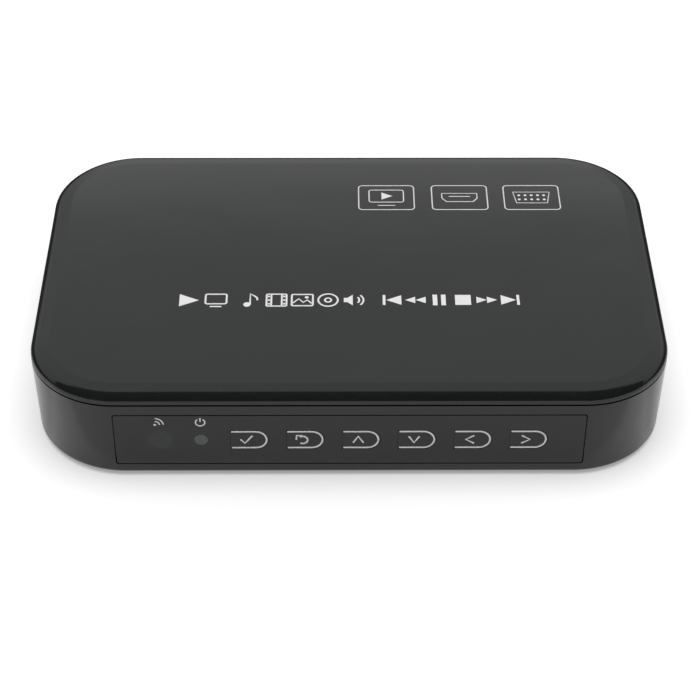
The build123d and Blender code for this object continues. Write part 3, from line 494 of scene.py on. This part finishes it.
# %% Finish table
FINISHES = {
    "case_gloss": ["top_cover", "bottom_case", "tray_bezel"],
    "strip_gloss": ["front_panel"],
    "black_plastic": [
        "hdmi_tongue", "usb_tongue", "av_jack", "dc_jack", "drive_connector", "drive_tray", "ir_receiver",
    ],
    "blue_plastic": ["vga_insulator"],
    "chip_black": ["tact_switches", "main_chip", "memory_chips", "sata_socket"],
    "white_plastic": ["cable_sockets", "key_cable"],
    "plated_steel": [
        "hdmi_socket", "usb_socket", "vga_shell", "vga_jack_nuts", "case_screws", "board_screws",
        "card_slot", "key_board_screws", "drive_screws", "drive_lid_screws", "dc_jack_pin", "crystal",
        "capacitors",
    ],
    "cast_alloy": ["drive_base"],
    "steel_lid": ["drive_lid"],
    "black_fins": ["heat_sink"],
    "green_board": ["main_board", "key_board", "drive_circuit"],
    "lens_plastic": ["led_lens"],
    "led_resin": ["power_led"],
    "rubber": ["rubber_feet"],
}
KEYS = ("ok", "back", "up", "down", "left", "right")
FINISHES["strip_gloss"] += [f"key_{name}" for name in KEYS]
FINISHES["white_plastic"] += [f"plunger_{name}" for name in KEYS]


def dress(node_object, material):
    """Give a piece one finish in place of what it came with."""
    node_object.data.materials.clear()
    node_object.data.materials.append(material)


for finish_name, members in FINISHES.items():
    for member in members:
        dress(nodes[member], bpy.data.materials[finish_name])
bare = set(nodes) - {m for members in FINISHES.values() for m in members}
print("pieces without a finish:", sorted(bare))

# %% [markdown]
# ## Screw recesses
#
# A real screw head has a cross in it, which the measured screws leave out. Cutting it needs a closed
# copy, so the loose triangles are merged first. One tapered cross per head is then cut away with a
# Boolean, which is the plainest way to carve a shape out of many heads at once. The new screws stand for
# the measured ones.

# %% A closed copy of a measured piece
SHARP = radians(35)
FLAT = radians(0.5)
WELD = 0.002 * MM


def merged_copy(name, new_name):
    """The piece as one closed mesh that can be cut, with its old shading dropped."""
    mesh = nodes[name].data.copy()
    mesh.name = new_name
    if "custom_normal" in mesh.attributes:
        mesh.attributes.remove(mesh.attributes["custom_normal"])
    bm = bmesh.new()
    bm.from_mesh(mesh)
    bmesh.ops.remove_doubles(bm, verts=bm.verts, dist=WELD)
    bmesh.ops.dissolve_limit(bm, angle_limit=FLAT, verts=bm.verts, edges=bm.edges)
    for face in bm.faces:
        face.smooth = True
    for edge in bm.edges:
        edge.smooth = edge.calc_face_angle(0.0) < SHARP
    bm.to_mesh(mesh)
    bm.free()
    piece = bpy.data.objects.new(new_name, mesh)
    bpy.context.scene.collection.objects.link(piece)
    return piece


print("corners within", WELD / MM, "mm become one")

# %% A cutter with a cross for each head
SLOT_SHARE = 0.42
SLOT_TAPER = (0.35, 0.5, 1)
CROSS_TURN = 20


def cross_cutter(heads, size, depth):
    """Tapered crosses, one at the middle of each head's face, pointing into the head, in millimetres."""
    bm = bmesh.new()
    for spot, inward in heads:
        turn = Vector((0, 0, -1)).rotation_difference(Vector(inward)).to_matrix().to_4x4()
        place = Matrix.Translation(Vector(spot) * MM) @ turn
        for quarter in (0, 90):
            made = bmesh.ops.create_cube(bm, size=1.0)["verts"]
            bmesh.ops.scale(bm, verts=made, vec=Vector((size * 2, size * SLOT_SHARE, depth * 2)) * MM)
            low = [v for v in made if v.co.z < 0]
            bmesh.ops.scale(bm, verts=low, vec=SLOT_TAPER)
            bmesh.ops.rotate(bm, verts=made, matrix=Matrix.Rotation(radians(quarter + CROSS_TURN), 3, "Z"))
            bmesh.ops.transform(bm, verts=made, matrix=place)
    mesh = bpy.data.meshes.new("cross_cutter")
    bm.to_mesh(mesh)
    bm.free()
    cutter = bpy.data.objects.new("cross_cutter", mesh)
    bpy.context.scene.collection.objects.link(cutter)
    return cutter


print("a cross is turned", CROSS_TURN, "degrees")

# %% Screws with crosses
def crossed_screws(name, body, heads, size, depth):
    """Screws with a cross cut in each head, from the middle of each face and the way into it."""
    piece = merged_copy(name, f"{name}_crossed")
    cutter = cross_cutter(heads, size, depth)
    cut = piece.modifiers.new("cross", "BOOLEAN")
    cut.object = cutter
    cut.operation = "DIFFERENCE"
    cut.solver = "EXACT"
    cut.use_self = True
    seen = bpy.context.evaluated_depsgraph_get()
    finished = bpy.data.meshes.new_from_object(piece.evaluated_get(seen))
    piece.modifiers.clear()
    piece.data = finished
    bpy.data.objects.remove(cutter)
    dress(piece, metals["plated_steel"])
    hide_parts(name)
    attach(piece, body)
    print(piece.name, "faces:", len(finished.polygons))


UP, DOWN = (0, 0, 1), (0, 0, -1)
CASE_SCREWS = ((-64, -38.35), (64, -38.35), (-68, 35.35), (58, 46.35))
case_face = extent("case_screws")[0][2]
case_heads = [((x, y, case_face), UP) for x, y in CASE_SCREWS]
crossed_screws("case_screws", "case", case_heads, size=0.95, depth=0.9)

# %% Screws of the drive's lid and of the tray's sides
LID_HEAD_RADIUS = 1.4
low, high = extent("drive_lid_screws")
lid_x, lid_y = [(low[i] + LID_HEAD_RADIUS, high[i] - LID_HEAD_RADIUS) for i in (0, 1)]
lid_heads = [((x, y, high[2]), DOWN) for x in lid_x for y in lid_y]
crossed_screws("drive_lid_screws", "tray", lid_heads, size=0.8, depth=0.28)

SIDE_HEAD_RADIUS = 2.5
low, high = extent("drive_screws")
side_x = (low[0] + SIDE_HEAD_RADIUS, high[0] - SIDE_HEAD_RADIUS)
side_z = middle("drive_screws")[2]
side_faces = ((low[1], (0, 1, 0)), (high[1], (0, -1, 0)))
side_heads = [((x, y, side_z), inward) for x in side_x for y, inward in side_faces]
crossed_screws("drive_screws", "tray", side_heads, size=1.5, depth=0.6)

# %% [markdown]
# ## Contacts in the sockets
#
# Looking into a socket, one sees thin gilded springs: four on the tongue of the wide socket, two rows on
# the flat video socket's tongue, and a split tube in each hole of the D-shaped one. They are too fine for
# the measured model, and small boxes and tubes are all they need.

# %% Gilding a set of contacts
def gilded(name, bm):
    """Finish a set of contacts and fix it to the case."""
    bmesh.ops.recalc_face_normals(bm, faces=bm.faces)
    mesh = bpy.data.meshes.new(name)
    bm.to_mesh(mesh)
    bm.free()
    mesh.materials.append(metals["gold_plate"])
    contacts = bpy.data.objects.new(name, mesh)
    bpy.context.scene.collection.objects.link(contacts)
    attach(contacts, "case")
    print(name, "faces:", len(mesh.polygons))


print("contacts are finished in", metals["gold_plate"].name)

# %% Flat contacts
BAR_ROUNDING = 0.04 * MM


def edges_of(verts):
    """The edges that meet these corners, each once, in an order that every run repeats."""
    return list(dict.fromkeys(edge for vert in verts for edge in vert.link_edges))


def contact_bars(bm, centres, size):
    """A small bar with rounded edges at each centre, all in millimetres."""
    for centre in centres:
        made = bmesh.ops.create_cube(bm, size=1.0)["verts"]
        bmesh.ops.scale(bm, verts=made, vec=Vector(size) * MM)
        bmesh.ops.translate(bm, verts=made, vec=Vector(centre) * MM)
        edges = edges_of(made)
        bmesh.ops.bevel(
            bm, geom=edges, affect="EDGES", offset=BAR_ROUNDING, segments=2, profile=0.5, material=-1
        )


WIDE_X = -73.2
WIDE_SPREAD = (-3.5, -1.0, 1.0, 3.5)
WIDE_BAR = (9.0, 1.1, 0.16)
wide_y = middle("usb_tongue")[1]
wide_underside = extent("usb_tongue")[0][2]
bm = bmesh.new()
contact_bars(bm, [(WIDE_X, wide_y + y, wide_underside) for y in WIDE_SPREAD], WIDE_BAR)
gilded("usb_contacts", bm)

FLAT_Y = 46.0
FLAT_PITCH = 1.0
FLAT_BAR = (0.45, 6.6, 0.12)
flat_x = middle("hdmi_tongue")[0]
flat_low, flat_high = extent("hdmi_tongue")
bm = bmesh.new()
for count, face in ((10, flat_high[2]), (9, flat_low[2])):
    first = flat_x - (count - 1) / 2 * FLAT_PITCH
    contact_bars(bm, [(first + i * FLAT_PITCH, FLAT_Y, face) for i in range(count)], FLAT_BAR)
gilded("hdmi_contacts", bm)

# %% Tubes in the D-shaped socket
TUBE_PITCH = 2.29 * MM
ROW_PITCH = 1.98 * MM
TUBE_RADIUS = 0.47 * MM
TUBE_WALL = 0.12 * MM
TUBE_SINK = 0.35 * MM
TUBE_LENGTH = 3.5 * MM
tube_face = extent("vga_insulator")[1][1] * MM - TUBE_SINK
tube_x, _, tube_z = (v * MM for v in middle("vga_insulator"))
bm = bmesh.new()
for column in range(-2, 3):
    for row in range(-1, 2):
        made = bmesh.ops.create_circle(bm, segments=14, radius=TUBE_RADIUS)["verts"]
        bmesh.ops.rotate(bm, verts=made, matrix=Matrix.Rotation(radians(90), 3, "X"))
        spot = (tube_x + column * TUBE_PITCH, tube_face, tube_z + row * ROW_PITCH)
        bmesh.ops.translate(bm, verts=made, vec=spot)
        drawn = bmesh.ops.extrude_edge_only(bm, edges=edges_of(made))["geom"]
        deep = [item for item in drawn if isinstance(item, bmesh.types.BMVert)]
        bmesh.ops.translate(bm, verts=deep, vec=(0, -TUBE_LENGTH, 0))
bmesh.ops.recalc_face_normals(bm, faces=bm.faces)
bmesh.ops.solidify(bm, geom=bm.faces, thickness=TUBE_WALL)
gilded("vga_contacts", bm)

# %% [markdown]
# ## Printed marks
#
# The cover and the strip carry silver screen printing: a film of ink thinner than a hair, with sharp
# edges. An image on the surface would blur when seen close, and a bevelled text object can't draw
# symbols. Each mark is drawn instead as lines and filled shapes on a flat sheet, in millimetres, then
# laid on its surface as a very thin solid. Lines come from a curve with a round bevel, which is flattened
# until it is only a film.

# %% Placing a flat sheet on a surface
INK_PROUD = 0.006 * MM
TOP_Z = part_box("top_cover")[1][2]
WALL_DRAFT, WALL_RISE = 0.25, 22.4
STRIP_LEAN = atan(WALL_DRAFT / WALL_RISE)
strip_y = strip_low[1] + (STRIP_Z - strip_low[2]) * WALL_DRAFT / WALL_RISE
STRIP_MIDDLE = Vector((0, strip_y, STRIP_Z)) * MM
across = Vector((1, 0, 0))
up_strip = Vector((0, -sin(STRIP_LEAN), cos(STRIP_LEAN)))
out_strip = across.cross(up_strip)


def sheet_on_cover(x, y):
    """The place of a sheet on the flat top, from its middle in millimetres."""
    return Matrix.Translation((x * MM, y * MM, TOP_Z))


def sheet_on_strip(x, y):
    """The place of a sheet on the front strip, x along it and y up it."""
    turn = Matrix((across, up_strip, out_strip)).transposed().to_4x4()
    return Matrix.Translation(STRIP_MIDDLE + across * x * MM + up_strip * y * MM) @ turn


print("cover top at", round(TOP_Z / MM, 2), "mm; strip leans", round(STRIP_LEAN / radians(1), 2), "degrees")

# %% Drawing lines and filled shapes
def inked_lines(bm, paths, width):
    """Lines of ink: a round tube along each path, flattened to a film."""
    curve = bpy.data.curves.new("ink_lines", "CURVE")
    curve.dimensions = "3D"
    curve.bevel_depth = width / 2
    curve.bevel_resolution = 1
    curve.use_fill_caps = True
    for points, closed in paths:
        spline = curve.splines.new("POLY")
        spline.points.add(len(points) - 1)
        for spot, (x, y) in zip(spline.points, points):
            spot.co = (x, y, 0, 1)
        spline.use_cyclic_u = closed
    holder = bpy.data.objects.new("ink_lines", curve)
    drawn = bpy.data.meshes.new_from_object(holder)
    drawn.transform(Matrix.Diagonal((1, 1, 2 * INK_PROUD / MM / width, 1)))
    bm.from_mesh(drawn)
    bpy.data.objects.remove(holder)
    bpy.data.meshes.remove(drawn)


def inked_shape(bm, outline):
    """A filled shape of ink with straight sides, given counter-clockwise."""
    corners = [bmesh.ops.create_vert(bm, co=(x, y, -INK_PROUD / MM))["vert"][0] for x, y in outline]
    for first, second in zip(corners, corners[1:] + corners[:1]):
        bmesh.ops.contextual_create(bm, geom=[first, second])
    face = bmesh.ops.contextual_create(bm, geom=edges_of(corners))["faces"]
    made = bmesh.ops.extrude_face_region(bm, geom=face)["geom"]
    raised = [item for item in made if isinstance(item, bmesh.types.BMVert)]
    bmesh.ops.translate(bm, verts=raised, vec=(0, 0, 2 * INK_PROUD / MM))


def arc(x, y, radius, start, end, steps=12):
    """Points along an arc, angles in degrees."""
    turns = [radians(start + (end - start) * i / steps) for i in range(steps + 1)]
    return [(x + radius * cos(t), y + radius * sin(t)) for t in turns]


def ring(x, y, radius, steps=28):
    """A closed circle as a path."""
    return arc(x, y, radius, 0, 360, steps)[:-1], True


def rounded_box(x, y, width, height, corner):
    """A closed path round a box with rounded corners."""
    a, b = width / 2 - corner, height / 2 - corner
    points = []
    for i, (sx, sy) in enumerate(((1, 1), (-1, 1), (-1, -1), (1, -1))):
        points += arc(x + sx * a, y + sy * b, corner, 90 * i, 90 * i + 90, 6)
    return points, True


def box(x, y, width, height):
    """The four corners of a filled box."""
    a, b = width / 2, height / 2
    return [(x - a, y - b), (x + a, y - b), (x + a, y + b), (x - a, y + b)]


print("a circle is drawn with", len(ring(0, 0, 1)[0]), "points")

# %% Making a printed mark
def print_mark(name, sheet, lines, shapes=(), width=0.5, size=1.0):
    """One mark, drawn flat about its middle and laid on its surface."""
    bm = bmesh.new()
    if lines:
        scaled = [([(x * size, y * size) for x, y in points], closed) for points, closed in lines]
        inked_lines(bm, scaled, width)
    for outline in shapes:
        inked_shape(bm, [(x * size, y * size) for x, y in outline])
    bmesh.ops.scale(bm, verts=bm.verts, vec=(MM, MM, MM))
    bmesh.ops.transform(bm, verts=bm.verts, matrix=sheet)
    bmesh.ops.recalc_face_normals(bm, faces=bm.faces)
    mesh = bpy.data.meshes.new(name)
    bm.to_mesh(mesh)
    bm.free()
    mesh.materials.append(ink)
    mark = bpy.data.objects.new(name, mesh)
    bpy.context.scene.collection.objects.link(mark)
    return mark


print("ink film stands", round(INK_PROUD / MM, 3), "mm proud")

# %% [markdown]
# ## Symbols on the cover
#
# Every symbol is drawn in a square two units high, so that one table holds them all and one number sets
# their size. They are the usual signs of any player: play, pause, stop, skip, a screen, a film, a note.

# %% Symbol drawings
def triangle(x, half, direction=1):
    """A filled triangle pointing right, or left with direction -1."""
    points = [(x - half * direction, -half), (x + half * direction, 0), (x - half * direction, half)]
    return points if direction > 0 else points[::-1]


NOTE_HEAD = arc(-0.35, -0.65, 0.34, 0, 360, 20)[:-1]
SYMBOLS = {
    "play": ([], [triangle(0.0, 0.92)]),
    "screen": (
        [rounded_box(0, 0.18, 2.0, 1.45, 0.2), ([(-0.55, -0.95), (0.55, -0.95)], False)],
        [],
    ),
    "note": (
        [([(-0.06, -0.65), (-0.06, 0.95), (0.35, 0.62), (0.6, 0.35), (0.62, 0.0)], False)],
        [NOTE_HEAD],
    ),
    "film": (
        [
            rounded_box(0, 0, 1.9, 1.8, 0.15),
            ([(-0.5, -0.9), (-0.5, 0.9)], False),
            ([(0.5, -0.9), (0.5, 0.9)], False),
        ],
        [box(side, height, 0.2, 0.24) for side in (-0.73, 0.73) for height in (-0.55, 0.0, 0.55)],
    ),
    "picture": (
        [
            rounded_box(0, 0, 2.0, 1.7, 0.15),
            ([(-0.9, -0.45), (-0.35, 0.2), (0.1, -0.35), (0.45, 0.02), (0.9, -0.5)], False),
        ],
        [arc(0.42, 0.42, 0.19, 0, 360, 16)[:-1]],
    ),
    "disc": ([ring(0, 0, 0.93), ring(0, 0, 0.3)], []),
    "speaker": (
        [(arc(-0.1, 0, 0.62, -42, 42), False), (arc(-0.1, 0, 1.02, -45, 45), False)],
        [[(-0.95, -0.32), (-0.6, -0.32), (-0.1, -0.8), (-0.1, 0.8), (-0.6, 0.32), (-0.95, 0.32)]],
    ),
    "previous": ([], [triangle(0.2, 0.72, -1), box(-0.72, 0, 0.26, 1.5)]),
    "rewind": ([], [triangle(-0.5, 0.48, -1), triangle(0.5, 0.48, -1)]),
    "pause": ([], [box(-0.4, 0, 0.44, 1.6), box(0.4, 0, 0.44, 1.6)]),
    "stop": ([], [box(0, 0, 1.5, 1.5)]),
    "forward": ([], [triangle(-0.5, 0.48), triangle(0.5, 0.48)]),
    "next": ([], [triangle(-0.2, 0.72), box(0.72, 0, 0.26, 1.5)]),
}
print("symbols drawn:", ", ".join(SYMBOLS))

# %% The row across the cover
ROW_Y = -14.4
ROW_SIZE = 2.7
ROW_LINE = 0.55
ROW_GROUPS = ((-41.0, 6.9, 2), (-25.2, 6.6, 5), (10.9, 6.1, 6))
row_spots = [start + pitch * i for start, pitch, count in ROW_GROUPS for i in range(count)]
for (symbol, (lines, shapes)), x in zip(SYMBOLS.items(), row_spots):
    mark = print_mark(f"cover_{symbol}", sheet_on_cover(x, ROW_Y), lines, shapes, ROW_LINE, ROW_SIZE)
    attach(mark, "case")
print("row of", len(row_spots), "symbols, from", row_spots[0], "to", round(row_spots[-1], 1), "mm")

# %% Three outlined badges at the rear right
BADGE_Y = 30.2
BADGE_LINE = 0.34
FRAME_SIZE = (15.1, 11.1, 1.1)
badge_frame = rounded_box(0, 0, *FRAME_SIZE)
wide_screen = [badge_frame, rounded_box(0, 0.7, 9.4, 5.6, 0.7), ([(-2.4, -3.6), (2.4, -3.6)], False)]
flat_plug = [
    badge_frame,
    ([(-4.8, 1.9), (4.8, 1.9), (4.8, -0.3), (3.6, -1.9), (-3.6, -1.9), (-4.8, -0.3)], True),
    ([(-2.9, 0.5), (2.9, 0.5)], False),
]
d_plug = [badge_frame, ([(-5.0, 2.5), (5.0, 2.5), (4.2, -2.5), (-4.2, -2.5)], True)]
pin_dots = [arc(1.7 * i, y, 0.4, 0, 360, 12)[:-1] for y in (1.0, -0.9) for i in (-2, -1, 0, 1, 2)]
badges = {
    "badge_screen": (10.4, wide_screen, [[(-1.3, -0.9), (1.7, 0.7), (-1.3, 2.3)]]),
    "badge_flat_plug": (30.4, flat_plug, []),
    "badge_d_plug": (50.1, d_plug, pin_dots),
}
for badge, (x, lines, shapes) in badges.items():
    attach(print_mark(badge, sheet_on_cover(x, BADGE_Y), lines, shapes, BADGE_LINE), "case")
print("badges:", ", ".join(badges))

# %% [markdown]
# ## Marks on the strip
#
# Over the infrared window and the light stand two small labels. Each key has a line round its round end
# and a sign in its middle. The lines lie just inside the cut, on the key itself, so they bend in with it.

# %% Labels above the window and the light
LABEL_LINE = 0.38
LABEL_UP = 6.0
LIGHT_X = middle("led_lens")[0]
signal_lines = [(arc(-1.05, -0.95, r, 3, 87), False) for r in (1.15, 2.1)]
signal_dot = arc(-1.05, -0.95, 0.34, 0, 360, 14)[:-1]
power_lines = [(arc(0, -0.15, 1.15, 125, 415, 24), False), ([(0, 0.1), (0, 1.35)], False)]
over_window = sheet_on_strip(WINDOW_X, LABEL_UP)
over_light = sheet_on_strip(LIGHT_X, LABEL_UP)
signal_label = print_mark("label_signal", over_window, signal_lines, [signal_dot], LABEL_LINE)
power_label = print_mark("label_power", over_light, power_lines, [], LABEL_LINE)
for label in (signal_label, power_label):
    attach(label, "case")
print("labels at", round(WINDOW_X, 1), "and", round(LIGHT_X, 1), "mm")

# %% Key lines and signs
KEY_LINE = 0.5
LINE_OFFSET = 2.68
LINE_START = 0.35
ROUND_AT = 6.3
SIGN_AT = 4.0
round_end = arc(ROUND_AT, 0, LINE_OFFSET, 90, -90, 16)
key_edge = [(LINE_START, LINE_OFFSET), *round_end, (LINE_START, -LINE_OFFSET)]


def chevron(turn):
    """An open arrow head about the sign's middle, turned in degrees."""
    points = ((-1.3, -1.05), (0.0, 1.05), (1.3, -1.05))
    c, s = cos(radians(turn)), sin(radians(turn))
    return [([(SIGN_AT + x * c - y * s, x * s + y * c) for x, y in points], False)]


KEY_SIGNS = {
    "ok": [([(2.5, 0.1), (3.6, -1.15), (5.5, 1.35)], False)],
    "back": [(arc(4.1, -0.1, 1.2, -120, 125, 16), False), ([(2.5, 0.0), (2.6, 1.4), (4.0, 1.3)], False)],
    "up": chevron(0),
    "down": chevron(180),
    "left": chevron(90),
    "right": chevron(-90),
}
for key_name, sign in KEY_SIGNS.items():
    root_x = extent(f"key_{key_name}")[0][0]
    lines = [(key_edge, False), *sign]
    mark = print_mark(f"key_{key_name}_print", sheet_on_strip(root_x, 0), lines, [], KEY_LINE)
    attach(mark, f"key_{key_name}")
print("keys printed:", len(KEY_SIGNS))
